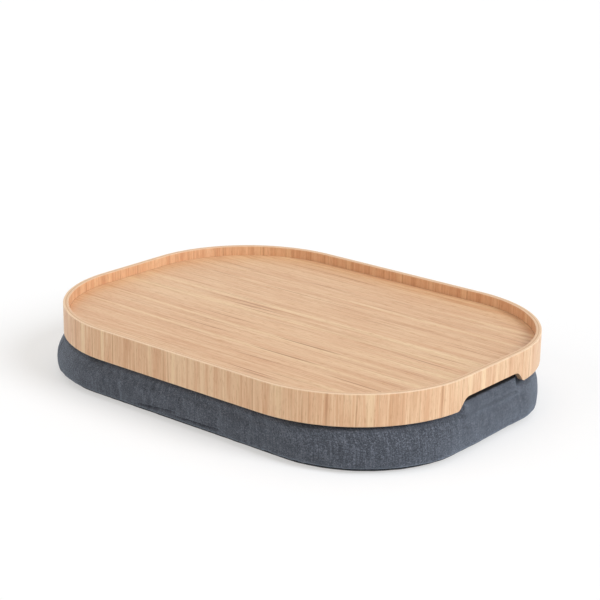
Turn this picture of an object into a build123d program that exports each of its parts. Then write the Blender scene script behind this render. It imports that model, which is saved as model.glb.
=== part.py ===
from build123d import *
from math import cos, pi, sin
import os

# Lap tray with cushion, in millimetres.
# Origin: on the floor under the middle of the cushion. X runs along the long side, +Z is up.

os.makedirs("parts", exist_ok=True)

# Tray rim, a hoop of bent and glued wood with a face veneer on both sides
tray_length = 460
tray_width = 345
tray_corner_radius = 129
rim_height = 30.5
rim_wall = 5.5
rim_veneer = 0.6
rim_edge_round = 0.45

# Deck board, let into a groove in the rim
deck_depth = 10
deck_core_thickness = 5
deck_veneer = 0.6
groove_depth = 2.2

# Hand grips, one notch in the bottom edge of each short end
grip_height = 11.2
grip_base_width = 104
grip_flank_run = 9.5
grip_crown_radius = 12
grip_lip_radius = 7

# Cushion, a bulging belly below the rim and a block that fills the space under the deck
cushion_end_overhang = 6
cushion_side_draw_in = 7.5
cushion_corner_draw_in = 12
cushion_belly_height = 41.5
belly_round_height = 8
belly_crown_start = 22
base_draw_in = 9
skirt_gap = 2.5
rim_seat_gap = 0.5
top_round = 8
base_sections = 4
crown_sections = 7

# Cover, liner and fill
cover_thickness = 1
base_seam_height = 3
liner_thickness = 0.4

# Hook and loop strips between the deck and the cushion
strip_length = 90
strip_width = 25
strip_corner_radius = 2
hook_thickness = 1.2
loop_thickness = 1.2
strip_gap = 0.3
strip_spacing_x = 220
strip_spacing_y = 150

# Zip in the back of the side band
zip_height = 15
zip_end_margin = 5
zip_window_height = 14
zip_tape_thickness = 0.6
zip_tape_depth = 0.8
tooth_pitch = 2.8
tooth_length = 1.4
tooth_height = 2.4
tooth_thickness = 2
row_gap = 1.2
stop_length = 2
stop_margin = 2.1
zip_pocket_depth = 6
zip_clearance = 0.4

# Zip slider and its pull
slider_length = 10
slider_plate_thickness = 1
slider_flange_width = 1
slider_web_length = 3
slider_web_thickness = 0.5
slider_corner_radius = 1.5
slider_rest_gap = 0.4
bail_width = 1.6
bail_span = 7
bail_thickness = 1
bail_gap = 1.9
pull_length = 24
pull_width = 6
pull_thickness = 1.2
pull_window_length = 4.5
pull_window_width = 2.8
pull_corner_radius = 1.6
pull_hole_radius = 1.1

# Overrun of cuts past the faces that they pass through
cut_overrun = 1

# The cushion follows the tray's outline, and the zip its straight back
cushion_length = tray_length + 2 * cushion_end_overhang
cushion_width = tray_width - 2 * cushion_side_draw_in
cushion_corner_radius = tray_corner_radius - cushion_corner_draw_in
zip_window_length = cushion_length - 2 * cushion_corner_radius - 2 * zip_end_margin

# Heights worked out from the sizes above
rim_bottom = cushion_belly_height + rim_seat_gap
rim_top = rim_bottom + rim_height
deck_top = rim_top - deck_depth
deck_core_top = deck_top - deck_veneer
deck_core_bottom = deck_core_top - deck_core_thickness
deck_bottom = deck_core_bottom - deck_veneer
hook_bottom = deck_bottom - hook_thickness
loop_top = hook_bottom - strip_gap
cushion_top = loop_top - loop_thickness
core_wall = rim_wall - 2 * rim_veneer
skirt_depth = rim_wall + skirt_gap
block_length = tray_length - 2 * skirt_depth
block_width = tray_width - 2 * skirt_depth
block_radius = tray_corner_radius - skirt_depth


def hoop(outer_depth, wall, bottom, height):
    """A rounded-rectangle hoop: its outer face lies outer_depth inside the tray's outline."""
    with BuildPart() as ring:
        with BuildSketch(Plane.XY.offset(bottom)):
            RectangleRounded(
                tray_length - 2 * outer_depth,
                tray_width - 2 * outer_depth,
                tray_corner_radius - outer_depth,
            )
            inner_depth = outer_depth + wall
            RectangleRounded(
                tray_length - 2 * inner_depth,
                tray_width - 2 * inner_depth,
                tray_corner_radius - inner_depth,
                mode=Mode.SUBTRACT,
            )
        extrude(amount=height)
    return ring.part


def board(edge_depth, bottom, thickness):
    """A flat board with the tray's outline drawn in by edge_depth."""
    with BuildPart() as sheet:
        with BuildSketch(Plane.XY.offset(bottom)):
            RectangleRounded(
                tray_length - 2 * edge_depth,
                tray_width - 2 * edge_depth,
                tray_corner_radius - edge_depth,
            )
        extrude(amount=thickness)
    return sheet.part


def grip_cutter():
    """The hand-grip notch as one bar that runs along X through both short ends."""
    half_base = grip_base_width / 2
    half_top = half_base - grip_flank_run
    lip_drop = cut_overrun + grip_lip_radius
    with BuildPart() as bar:
        with BuildSketch(Plane.YZ) as notch:
            with BuildLine():
                Polyline(
                    (-half_base - grip_lip_radius, rim_bottom - lip_drop),
                    (-half_base - grip_lip_radius, rim_bottom),
                    (-half_base, rim_bottom),
                    (-half_top, rim_bottom + grip_height),
                    (half_top, rim_bottom + grip_height),
                    (half_base, rim_bottom),
                    (half_base + grip_lip_radius, rim_bottom),
                    (half_base + grip_lip_radius, rim_bottom - lip_drop),
                    close=True,
                )
            make_face()
            fillet(notch.vertices().group_by(Axis.Y)[-1], grip_crown_radius)
            lip_level = notch.vertices().group_by(Axis.Y)[1].sort_by(Axis.X)
            fillet(lip_level[1:3], grip_lip_radius)
        extrude(amount=tray_length / 2 + cut_overrun, both=True)
    return bar.part


def belly_sections(inset):
    """Height, length, width and corner radius of each level of the belly."""
    length = cushion_length - 2 * inset
    width = cushion_width - 2 * inset
    radius = cushion_corner_radius - inset
    levels = []
    for step in range(base_sections):
        turn = pi / 2 * step / base_sections
        draw_in = base_draw_in * (1 - sin(turn))
        height = inset + (belly_round_height - inset) * (1 - cos(turn))
        levels.append((height, length - 2 * draw_in, width - 2 * draw_in, radius - draw_in))
    crown_rise = cushion_belly_height - belly_crown_start
    block_inset_length = block_length - 2 * inset
    block_inset_width = block_width - 2 * inset
    block_inset_radius = block_radius - inset
    levels.append((belly_round_height, length, width, radius))
    for step in range(crown_sections + 1):
        turn = pi / 2 * step / crown_sections
        share = 1 - cos(turn)
        levels.append(
            (
                belly_crown_start + (crown_rise - inset) * sin(turn),
                length + (block_inset_length - length) * share,
                width + (block_inset_width - width) * share,
                radius + (block_inset_radius - radius) * share,
            )
        )
    return levels


def cushion_form(inset):
    """The cushion's outer form, drawn in everywhere by inset."""
    with BuildPart() as form:
        for height, length, width, radius in belly_sections(inset):
            with BuildSketch(Plane.XY.offset(height)):
                RectangleRounded(length, width, radius)
        loft()
        with BuildSketch(Plane.XY.offset(cushion_belly_height - inset)):
            RectangleRounded(
                block_length - 2 * inset,
                block_width - 2 * inset,
                block_radius - inset,
            )
        extrude(amount=cushion_top - cushion_belly_height)
        fillet(form.edges().group_by(Axis.Z)[-1], top_round - inset)
    return form.part


def slab(bottom, top):
    """A block wider than the cushion between two heights, to part the cover at its seams."""
    with BuildPart() as block:
        with BuildSketch(Plane.XY.offset(bottom)):
            Rectangle(cushion_length + 2 * cut_overrun, cushion_width + 2 * cut_overrun)
        extrude(amount=top - bottom)
    return block.part


grip_bar = grip_cutter()

# Tray: the rim's laminated core with its groove and its two hand grips
with BuildPart() as rim_core:
    add(hoop(rim_veneer, core_wall, rim_bottom, rim_height))
    add(board(rim_wall - groove_depth, deck_bottom, deck_top - deck_bottom), mode=Mode.SUBTRACT)
    add(grip_bar, mode=Mode.SUBTRACT)
rim_core.part.label = "rim_core"
export_step(rim_core.part, "parts/rim_core.step")

# Tray: the rim's outer face veneer, grain upright, its edges eased
with BuildPart() as rim_outer_veneer:
    add(hoop(0, rim_veneer, rim_bottom, rim_height))
    outer_edges = rim_outer_veneer.faces().sort_by(Axis.Z)[-1].outer_wire().edges()
    outer_edges += rim_outer_veneer.faces().sort_by(Axis.Z)[0].outer_wire().edges()
    fillet(outer_edges, rim_edge_round)
    add(grip_bar, mode=Mode.SUBTRACT)
rim_outer_veneer.part.label = "rim_outer_veneer"
export_step(rim_outer_veneer.part, "parts/rim_outer_veneer.step")

# Tray: the rim's inner face veneer above the deck
with BuildPart() as rim_inner_veneer_upper:
    add(hoop(rim_wall - rim_veneer, rim_veneer, deck_top, deck_depth))
    inner_edges = rim_inner_veneer_upper.faces().sort_by(Axis.Z)[-1].inner_wires().edges()
    fillet(inner_edges, rim_edge_round)
rim_inner_veneer_upper.part.label = "rim_inner_veneer_upper"
export_step(rim_inner_veneer_upper.part, "parts/rim_inner_veneer_upper.step")

# Tray: the rim's inner face veneer below the deck
with BuildPart() as rim_inner_veneer_lower:
    add(hoop(rim_wall - rim_veneer, rim_veneer, rim_bottom, deck_bottom - rim_bottom))
    add(grip_bar, mode=Mode.SUBTRACT)
rim_inner_veneer_lower.part.label = "rim_inner_veneer_lower"
export_step(rim_inner_veneer_lower.part, "parts/rim_inner_veneer_lower.step")

# Tray: the deck board, a core between two veneers, its edge held in the rim's groove
with BuildPart() as deck_core:
    add(board(rim_wall - groove_depth, deck_core_bottom, deck_core_thickness))
deck_core.part.label = "deck_core"
export_step(deck_core.part, "parts/deck_core.step")

with BuildPart() as deck_top_veneer:
    add(board(rim_wall - groove_depth, deck_core_top, deck_veneer))
deck_top_veneer.part.label = "deck_top_veneer"
export_step(deck_top_veneer.part, "parts/deck_top_veneer.step")

with BuildPart() as deck_bottom_veneer:
    add(board(rim_wall - groove_depth, deck_bottom, deck_veneer))
deck_bottom_veneer.part.label = "deck_bottom_veneer"
export_step(deck_bottom_veneer.part, "parts/deck_bottom_veneer.step")

# Tray: four hook strips glued under the deck
with BuildPart() as hook_strips:
    with BuildSketch(Plane.XY.offset(hook_bottom)):
        with GridLocations(strip_spacing_x, strip_spacing_y, 2, 2):
            RectangleRounded(strip_length, strip_width, strip_corner_radius)
    extrude(amount=hook_thickness)
hook_strips.part.label = "hook_strips"
export_step(hook_strips.part, "parts/hook_strips.step")

# Cushion: four loop strips sewn on the top panel under the hook strips
with BuildPart() as loop_strips:
    with BuildSketch(Plane.XY.offset(cushion_top)):
        with GridLocations(strip_spacing_x, strip_spacing_y, 2, 2):
            RectangleRounded(strip_length, strip_width, strip_corner_radius)
    extrude(amount=loop_thickness)
loop_strips.part.label = "loop_strips"
export_step(loop_strips.part, "parts/loop_strips.step")

# Cushion: the zip's window in the cover and the pocket behind it
zip_face = cushion_width / 2
row_bottom = row_gap / 2
row_top = row_bottom + tooth_height
tape_outer = zip_face - zip_tape_depth
tape_inner = tape_outer - zip_tape_thickness
tape_middle = (tape_outer + tape_inner) / 2
tape_height = zip_window_height / 2 - row_top
tooth_outer = tape_middle + tooth_thickness / 2
tooth_inner = tape_middle - tooth_thickness / 2
pocket_wall_depth = zip_face - zip_pocket_depth


def zip_box(length, height, inner, outer, x=0, z=0):
    """A box on the zip's line: X size, Z size, from one depth in Y to another."""
    with BuildPart() as block:
        with BuildSketch(Plane.XZ.offset(-inner)):
            with Locations((x, zip_height + z)):
                Rectangle(length, height)
        extrude(amount=inner - outer)
    return block.part


cover_outer = cushion_form(0)
cover_inner = cushion_form(cover_thickness)
fill_form = cushion_form(cover_thickness + liner_thickness)
zip_window = zip_box(
    zip_window_length, zip_window_height, pocket_wall_depth, zip_face + cut_overrun
)
fill_pocket = zip_box(
    zip_window_length + 2 * liner_thickness,
    zip_window_height + 2 * liner_thickness,
    pocket_wall_depth - liner_thickness,
    zip_face + cut_overrun,
)

# Cushion: the top panel, which closes the block under the deck
with BuildPart() as cover_top_panel:
    add(cover_outer)
    add(cover_inner, mode=Mode.SUBTRACT)
    add(slab(cushion_belly_height, cushion_top + cut_overrun), mode=Mode.INTERSECT)
cover_top_panel.part.label = "cover_top_panel"
export_step(cover_top_panel.part, "parts/cover_top_panel.step")

# Cushion: the side band, the fabric that shows below the rim
with BuildPart() as cover_side_band:
    add(cover_outer)
    add(cover_inner, mode=Mode.SUBTRACT)
    add(slab(base_seam_height, cushion_belly_height), mode=Mode.INTERSECT)
    add(zip_window, mode=Mode.SUBTRACT)
cover_side_band.part.label = "cover_side_band"
export_step(cover_side_band.part, "parts/cover_side_band.step")

# Cushion: the base panel, turned up to the seam that lies just above the floor
with BuildPart() as cover_base_panel:
    add(cover_outer)
    add(cover_inner, mode=Mode.SUBTRACT)
    add(slab(-cut_overrun, base_seam_height), mode=Mode.INTERSECT)
cover_base_panel.part.label = "cover_base_panel"
export_step(cover_base_panel.part, "parts/cover_base_panel.step")

# Cushion: the fill of loose beads
with BuildPart() as bead_fill:
    add(fill_form)
    add(fill_pocket, mode=Mode.SUBTRACT)
bead_fill.part.label = "bead_fill"
export_step(bead_fill.part, "parts/bead_fill.step")

# Cushion: the liner bag that holds the beads
with BuildPart() as liner_bag:
    add(cover_inner)
    add(zip_window, mode=Mode.SUBTRACT)
    add(bead_fill.part, mode=Mode.SUBTRACT)
liner_bag.part.label = "liner_bag"
export_step(liner_bag.part, "parts/liner_bag.step")

# Zip: two tapes, each from the window's edge to its row of teeth
tape_centre = row_top + tape_height / 2
with BuildPart() as zip_tape_upper:
    add(zip_box(zip_window_length, tape_height, tape_inner, tape_outer, z=tape_centre))
zip_tape_upper.part.label = "zip_tape_upper"
export_step(zip_tape_upper.part, "parts/zip_tape_upper.step")

with BuildPart() as zip_tape_lower:
    add(zip_box(zip_window_length, tape_height, tape_inner, tape_outer, z=-tape_centre))
zip_tape_lower.part.label = "zip_tape_lower"
export_step(zip_tape_lower.part, "parts/zip_tape_lower.step")

# Zip: two rows of teeth, half a pitch apart, with the slider's web between them
stop_place = zip_window_length / 2 - stop_margin - stop_length / 2
tooth_run_length = 2 * stop_place - stop_length - tooth_pitch
tooth_count = int(tooth_run_length / tooth_pitch)
row_centre = row_bottom + tooth_height / 2
row_shift = tooth_pitch / 4


def tooth_row(x, z):
    """One row of moulded teeth, each a separate solid seated on its tape's edge."""
    with BuildPart() as row:
        with BuildSketch(Plane.XZ.offset(-tooth_inner)):
            with Locations((x, zip_height + z)):
                with GridLocations(tooth_pitch, 0, tooth_count, 1):
                    Rectangle(tooth_length, tooth_height)
        extrude(amount=tooth_inner - tooth_outer)
    return row.part


with BuildPart() as zip_teeth_upper:
    add(tooth_row(row_shift, row_centre))
zip_teeth_upper.part.label = "zip_teeth_upper"
export_step(zip_teeth_upper.part, "parts/zip_teeth_upper.step")

with BuildPart() as zip_teeth_lower:
    add(tooth_row(-row_shift, -row_centre))
zip_teeth_lower.part.label = "zip_teeth_lower"
export_step(zip_teeth_lower.part, "parts/zip_teeth_lower.step")

# Zip: a stop at each end, across both rows
with BuildPart() as zip_end_stops:
    for side in (-1, 1):
        add(zip_box(stop_length, 2 * row_top, tooth_inner, tooth_outer, x=side * stop_place))
zip_end_stops.part.label = "zip_end_stops"
export_step(zip_end_stops.part, "parts/zip_end_stops.step")

# Slider: two plates with turned edges, a web between the rows and a bail on the outside
slider_place = stop_place - stop_length / 2 - slider_rest_gap - slider_length / 2
outer_plate_inner = tooth_outer + zip_clearance
outer_plate_outer = outer_plate_inner + slider_plate_thickness
inner_plate_outer = tooth_inner - zip_clearance
inner_plate_inner = inner_plate_outer - slider_plate_thickness
flange_bottom = row_top + zip_clearance
slider_height = 2 * (flange_bottom + slider_flange_width)
flange_centre = flange_bottom + slider_flange_width / 2
web_place = slider_place + slider_length / 2 - slider_web_length / 2
bail_inner = outer_plate_outer + bail_gap
bail_outer = bail_inner + bail_thickness
bail_post_place = bail_span / 2 - bail_thickness / 2

with BuildPart() as zip_slider:
    for plate_inner, plate_outer in (
        (inner_plate_inner, inner_plate_outer),
        (outer_plate_inner, outer_plate_outer),
    ):
        with BuildSketch(Plane.XZ.offset(-plate_inner)):
            with Locations((slider_place, zip_height)):
                RectangleRounded(slider_length, slider_height, slider_corner_radius)
        extrude(amount=plate_inner - plate_outer)
    flange_length = slider_length - 2 * slider_corner_radius
    for side in (-1, 1):
        add(
            zip_box(
                flange_length, slider_flange_width, tape_outer + zip_clearance,
                outer_plate_inner, x=slider_place, z=side * flange_centre,
            )
        )
        add(
            zip_box(
                flange_length, slider_flange_width, inner_plate_outer,
                tape_inner - zip_clearance, x=slider_place, z=side * flange_centre,
            )
        )
        add(
            zip_box(
                bail_thickness, bail_width, outer_plate_outer, bail_outer,
                x=slider_place + side * bail_post_place,
            )
        )
    add(
        zip_box(
            slider_web_length, slider_web_thickness, inner_plate_outer,
            outer_plate_inner, x=web_place,
        )
    )
    add(zip_box(bail_span, bail_width, bail_inner, bail_outer, x=slider_place))
zip_slider.part.label = "zip_slider"
export_step(zip_slider.part, "parts/zip_slider.step")

# Pull: a flat tab whose end bar turns under the bail
pull_axis_depth = outer_plate_outer + bail_gap / 2
pull_inner = pull_axis_depth - pull_thickness / 2
pull_bar_end = slider_place + pull_thickness / 2
pull_centre = pull_bar_end - pull_length / 2
pull_window_centre = slider_place - pull_thickness / 2 - pull_window_length / 2
pull_hole_centre = pull_bar_end - pull_length + pull_width / 2
with BuildPart() as zip_pull:
    with BuildSketch(Plane.XZ.offset(-pull_inner)):
        with Locations((pull_centre, zip_height)):
            RectangleRounded(pull_length, pull_width, pull_corner_radius)
        with Locations((pull_window_centre, zip_height)):
            Rectangle(pull_window_length, pull_window_width, mode=Mode.SUBTRACT)
        with Locations((pull_hole_centre, zip_height)):
            Circle(pull_hole_radius, mode=Mode.SUBTRACT)
    extrude(amount=-pull_thickness)
zip_pull.part.label = "zip_pull"
export_step(zip_pull.part, "parts/zip_pull.step")
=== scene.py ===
from math import atan2, cos, dist, exp, hypot, pi, radians, sin

import bmesh
import bpy
from mathutils import Matrix, Vector, noise


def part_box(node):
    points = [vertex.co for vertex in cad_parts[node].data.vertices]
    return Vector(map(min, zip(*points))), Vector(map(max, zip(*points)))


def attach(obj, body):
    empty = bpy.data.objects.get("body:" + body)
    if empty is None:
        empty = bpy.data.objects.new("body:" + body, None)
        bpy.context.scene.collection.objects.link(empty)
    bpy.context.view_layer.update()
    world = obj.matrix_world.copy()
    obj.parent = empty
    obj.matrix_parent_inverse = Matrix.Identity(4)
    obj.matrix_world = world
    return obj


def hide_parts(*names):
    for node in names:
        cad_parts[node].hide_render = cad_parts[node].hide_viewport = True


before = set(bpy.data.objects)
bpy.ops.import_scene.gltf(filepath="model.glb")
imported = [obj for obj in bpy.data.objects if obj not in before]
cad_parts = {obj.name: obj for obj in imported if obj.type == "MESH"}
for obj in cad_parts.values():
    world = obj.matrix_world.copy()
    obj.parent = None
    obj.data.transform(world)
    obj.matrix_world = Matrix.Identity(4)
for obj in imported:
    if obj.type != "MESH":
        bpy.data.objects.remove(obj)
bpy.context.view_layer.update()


def far_side(node, axis):
    """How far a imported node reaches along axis 0, 1 or 2, in metres."""
    return round(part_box(node)[1][axis], 5)


def under_side(node):
    """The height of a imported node's lowest point, in metres."""
    return round(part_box(node)[0].z, 5)


# Lengths are in metres, except in the materials, which work in millimetres
MM = 1000

# The tray
TRAY_HALF_LENGTH = far_side("rim_outer_veneer", 0)
TRAY_HALF_WIDTH = far_side("rim_outer_veneer", 1)
RIM_TOP = far_side("rim_outer_veneer", 2)
RIM_BOTTOM = under_side("rim_outer_veneer")
TRAY_RADIUS = 0.129
RIM_WALL = 0.0055
PLY_THICKNESS = 0.00086

# The camera, solved from the tray's outline: it turns about a pivot on the rim's bottom plane
CAMERA_AZIMUTH = radians(39.554)
CAMERA_ELEVATION = radians(19.355)
CAMERA_ROLL = radians(-0.96)
CAMERA_DISTANCE = 1.68193
CAMERA_LENS = 101.9625
SENSOR_WIDTH = 36
AIM_RIGHT = 0.001488
AIM_UP = 0.038966

# The cushion's outlines: the widest one at its belly, and the block's, which fits inside the rim
BELLY_HALF_LENGTH = 0.2350
BELLY_HALF_WIDTH = 0.1669
BELLY_RADIUS = 0.115
BELLY_SHIFT_X = -0.0008
BELLY_SHIFT_Y = -0.0019
BELLY_HEIGHT = 0.0165
BLOCK_HALF_LENGTH = far_side("cover_top_panel", 0)
BLOCK_HALF_WIDTH = far_side("cover_top_panel", 1)
BLOCK_RADIUS = 0.121
BASE_SEAM = under_side("cover_side_band")
TOP_SEAM = 0.0525

# Where it differs from a plain outline: tucked in at the back corners, fuller where it is drawn in at the
# front and right, and slack at the left end away from the belly's height
BACK_RIGHT_TUCK = 0.0086
BACK_LEFT_TUCK = 0.0045
FRONT_FULLNESS = 0.20
RIGHT_FULLNESS = 0.22
RIGHT_FULLNESS_SPAN = (-0.3, 0.8)
END_SLACK = 0.0016
END_SLACK_AWAY = (0.004, 0.015)
END_SLACK_TOP = (0.036, 0.041)

# Columns of the cushion's mesh: on a long side (left of, along and right of the zip), a corner and an end
LONG_SIDE_PIECES = (3, 80, 2)
CORNER_PIECES = 64
END_PIECES = 34

# Beyond this distance from the middle in Y, a point is on a long side
ON_LONG_SIDE = 0.1

# Ranges of four heights below say where a form starts, is full, begins to fade and is gone

# The side band is drawn in by its slack, and the simulation pushes it out again where it is loose
SLACK = 0.0025
SLACK_HEIGHTS = (0.003, 0.012, 0.030, 0.040)
LOOSE_HEIGHTS = (0.0032, 0.0075, 0.0345, 0.0405)
SIMULATED_FRAMES = 15
LUMP_LIMIT = 0.0009
TAUT_SHARE = 0.75
TAUT_SIDES = (0.050, 0.085)

# The cushion's end behind a hand grip: it swells up into the grip, and above that falls back into a hollow
GRIP_SIDES = (0.042, 0.051)
SWELL_REACH = 0.2315
SWELL_FOOT = 0.0340
SWELL_LEAN = 0.40
SWELL_HEIGHTS = (0.0300, 0.0345, 0.0470, 0.0484)
HOLLOW_HEIGHTS = (0.0472, 0.0486, 0.0497, 0.0522)
HOLLOW_DEPTH = 0.0110
HOLLOW_FALL = 0.0055
BAG_FALL_SHARE = 1.3
BAG_FALL_HEIGHTS = (0.0440, 0.0480)

# The hollow's painted shade, a near black cloth colour standing in for its shadow, and how far past its edge
# the cloth has no sheen
GAP_SHADE_INNER_X = 0.2075
GAP_SHADE_OUTER_X = 0.2248
GAP_SHADE_HALF_WIDTH = 0.050
GAP_SHADE_LOW = 0.0426
GAP_SHADE_LAP = 0.0012

# The zip's window in the back of the cushion, and how far round it the cloth is flat, fully and at all
WINDOW_HALF = far_side("zip_tape_upper", 0)
WINDOW_HIGH = far_side("zip_tape_upper", 2)
WINDOW_LOW = under_side("zip_tape_lower")
WINDOW_TOLERANCE = 0.0006
ZIP_FACE = 0.165
LIP_DEPTH = 0.0016
LIP_CREASE = 0.8
FLAT_BESIDE = (0.002, 0.010)
FLAT_BELOW = (0.001, 0.0045)
FLAT_ABOVE = (0.001, 0.007)

# The inner bags and their pocket behind the zip
BAG_ROWS = (0.006, 0.0515)
BAG_FOOT = ((0.0, 0.008), (0.001, 0.005))
BAG_TOP_SCALES = (0.95, 0.8, 0.6, 0.4, 0.2)
POCKET_DEPTH = 0.0062
POCKET_LEAST_ROOM = 0.003
POCKET_SIDES = (-0.001, 0.004)
POCKET_HEIGHTS = (0.005, 0.0079, 0.0221, 0.0255)

# Loop strips on the top panel, which pillows up between them
STRIP_HALF_LENGTH = 0.045
STRIP_HALF_WIDTH = 0.0125
STRIP_X = far_side("loop_strips", 0) - STRIP_HALF_LENGTH
STRIP_Y = far_side("loop_strips", 1) - STRIP_HALF_WIDTH
STRIP_PULL = (0.001, 0.022)
LOOP_TOP = far_side("loop_strips", 2)
TOP_PANEL_HEIGHT = 0.05355
TOP_PANEL_PUFF = 0.0018
TOP_PANEL_LIMIT = 0.0558
TOP_PANEL_RINGS = 34

# Two long shallow creases above the base seam at the front, each from one (x, height) to another
CREASES = (
    ((-0.059, 0.0079), (-0.010, 0.0132)),
    ((-0.004, 0.0091), (0.045, 0.0100)),
)
CREASE_DEPTH = 0.0023
CREASE_WIDTH = 0.0010
CREASE_SPAN = (-0.15, 0.15, 0.85, 1.15)
RIDGE_ASIDE = 2.2

# The upright fold round the front left corner
CORNER_FOLD_TURN = radians(232)
CORNER_FOLD_WIDTH = 0.0030
CORNER_FOLD_DEPTH = 0.0012
CORNER_FOLD_HEIGHTS = (0.008, 0.018, 0.030, 0.040)

# The short dark slit under the rim at the front left
SLIT_X = -0.108
SLIT_HALF = 0.010
SLIT_DEPTH = 0.0024
SLIT_HEIGHTS = (0.0290, 0.0355, 0.0400, 0.0430)

# Unevenness of the cloth: how far it stands out, its width along the seam, its height and its seed
LUMP = (0.0011, 0.055, 0.034, 3.3)
RIPPLE = (0.00042, 0.019, 0.030, 7.7)
PUCKER = (0.00085, 0.0065, 0.012, 11.0)
FOLD = (0.0005, 0.030, 0.0045, 21.0)
ZONE = (1.0, 0.07, 1.0, 1.9)
HEM = (0.0005, 0.009, 0.004, 5.0)
CRUMPLE = (0.0004, 0.05, 0.04, 0.7)
PUCKER_REACH = 0.006
FOLD_REACH = 0.012
RUMPLED_ABOVE = (BASE_SEAM, 0.007)
RUMPLED_BELOW = (0.036, 0.043)
HEM_ROWS = 6


def in_metres(*rows):
    return [(height / MM, draw_in / MM, share) for height, draw_in, share in rows]


# Rows of (height, draw-in, share of the block's outline) in millimetres: the side band, from seam to seam
SIDE_LEVELS = in_metres(
    (3.4, 6.8, 0), (3.7, 5.4, 0), (4.3, 4.3, 0), (5.2, 3.4, 0), (6.4, 2.6, 0), (8, 1.6, 0), (9.2, 1.1, 0),
    (10.3, 0.7, 0), (11.5, 0.4, 0), (12.6, 0.2, 0), (13.8, 0, 0), (15, 0, 0), (17.4, 0, 0.005),
    (19.7, 0, 0.02), (22, 0, 0.05), (24.3, 0, 0.09), (26.4, 0, 0.14), (28.6, 0, 0.2), (30.8, 0, 0.28),
    (32.7, 0, 0.36), (34.2, 0, 0.44), (35.4, 0, 0.54), (36.3, 0, 0.67), (37.1, 0.3, 0.84),
    (37.7, 1.2, 0.98), (38.3, 2.9, 1), (39.3, 4.6, 1), (40.8, 5.2, 1), (42.4, 4.4, 1), (43.7, 2.7, 1),
    (44.8, 1.1, 1), (45.8, 0.3, 1), (47.2, 0, 1), (48.1, 0.3, 1), (48.9, 0.6, 1), (49.8, 0.9, 1),
    (51, 1.8, 1), (52, 3, 1), (52.5, 4.2, 1), (52.2, 5.4, 1),
)
# The base panel, from its seam to the floor, and the rings that close it
BASE_LEVELS = in_metres(
    (4, 7.5, 0), (3.8, 5.5, 0), (3.1, 5.4, 0), (2.2, 6.4, 0), (1.4, 7.8, 0), (0.7, 9.5, 0),
    (0.2, 11.6, 0), (0, 14, 0), (0, 17, 0), (0, 23, 0),
)
BASE_SCALES = (0.97, 0.92, 0.84, 0.74, 0.62, 0.50, 0.38, 0.26, 0.14, 0.05)
# The top panel, from its seam inwards
TOP_LEVELS = in_metres(
    (51.8, 6, 1), (52.4, 6.6, 1), (52.9, 7.8, 1), (53.2, 9.6, 1), (53.4, 12.5, 1), (53.5, 16.5, 1),
)
# About how much narrower the block is than the belly, for laying the cloth out
BLOCK_DRAW = 0.0145

# Thread
STITCH_PITCH = 0.0033
STITCH_CORNERS = 8
STITCH_TURNS = [2 * pi * corner / STITCH_CORNERS for corner in range(STITCH_CORNERS)]
STITCH_PROFILE = ((-0.5, 0.15), (-0.34, 0.8), (0.0, 1.0), (0.34, 0.8), (0.5, 0.15))
ZIP_STITCH_MARGIN = 0.0022
ZIP_STITCH_RISE = 0.0001
LOOP_STITCH_MARGIN = 0.002

# Floor, world and lamps: each lamp's name, direction, strength, softness in degrees and colour
FLOOR_SIZE = 60
FLOOR_DROP = 0.0004
FLOOR_GLOW = 0.49
WORLD_LIGHT = 0.37
LAMPS = (
    ("key", (0.81, 0.09, 0.60), 2.05, 32, (0.93, 0.98, 1.05)),
    ("side", (0.92, 0.36, 0.10), 0.55, 40, (0.86, 1.0, 1.18)),
    ("top", (-0.10, 0.13, 0.98), 0.45, 70, (1.04, 1.0, 0.96)),
    ("fill", (-0.48, -0.83, 0.28), 0.95, 60, (1.0, 0.97, 0.94)),
)


def screen(red, green, blue):
    """A linear colour from screen values of 0 to 255."""
    def linear(value):
        value /= 255
        return value / 12.92 if value <= 0.04045 else ((value + 0.055) / 1.055) ** 2.4
    return (linear(red), linear(green), linear(blue), 1.0)


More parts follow.
